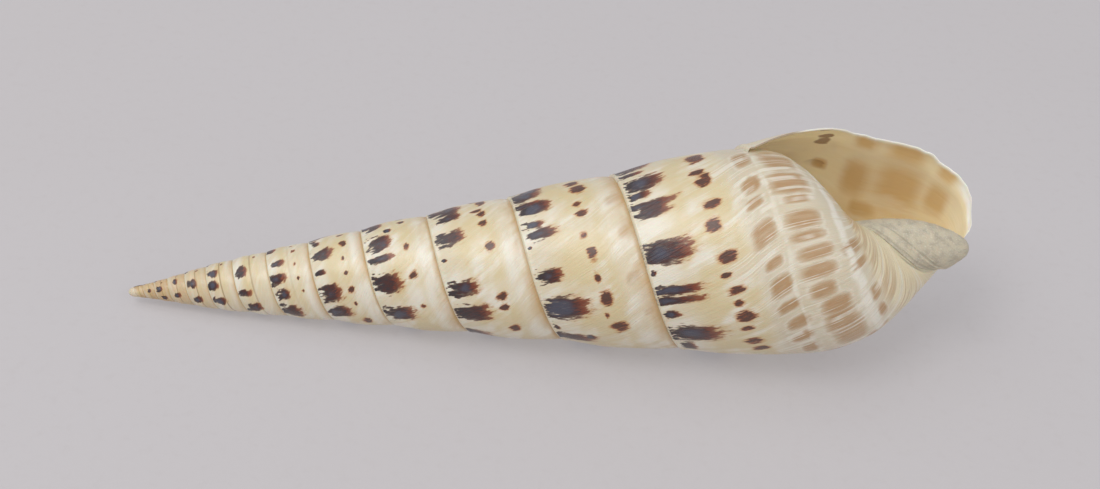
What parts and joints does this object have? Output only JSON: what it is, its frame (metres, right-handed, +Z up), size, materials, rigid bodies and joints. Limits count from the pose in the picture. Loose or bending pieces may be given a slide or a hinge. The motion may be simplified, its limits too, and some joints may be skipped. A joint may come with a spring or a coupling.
{
  "type": "auger shell",
  "caption": "Long pointed spiral sea-snail shell with flat-sided whorls, a thin flaring outer lip, an open aperture and a short bent columella.",
  "frame": {"origin": "middle of the footprint's box, on the surface that the shell lies on", "axes": "+X towards the aperture end, -X towards the tip, +Y the side that the outer lip is on, +Z up"},
  "size_m": [0.159, 0.0404, 0.0417],
  "materials": {
    "shell": "gloss"
  },
  "bodies": {
    "root": {"auger_shell": "shell"}
  },
  "joints": []
}
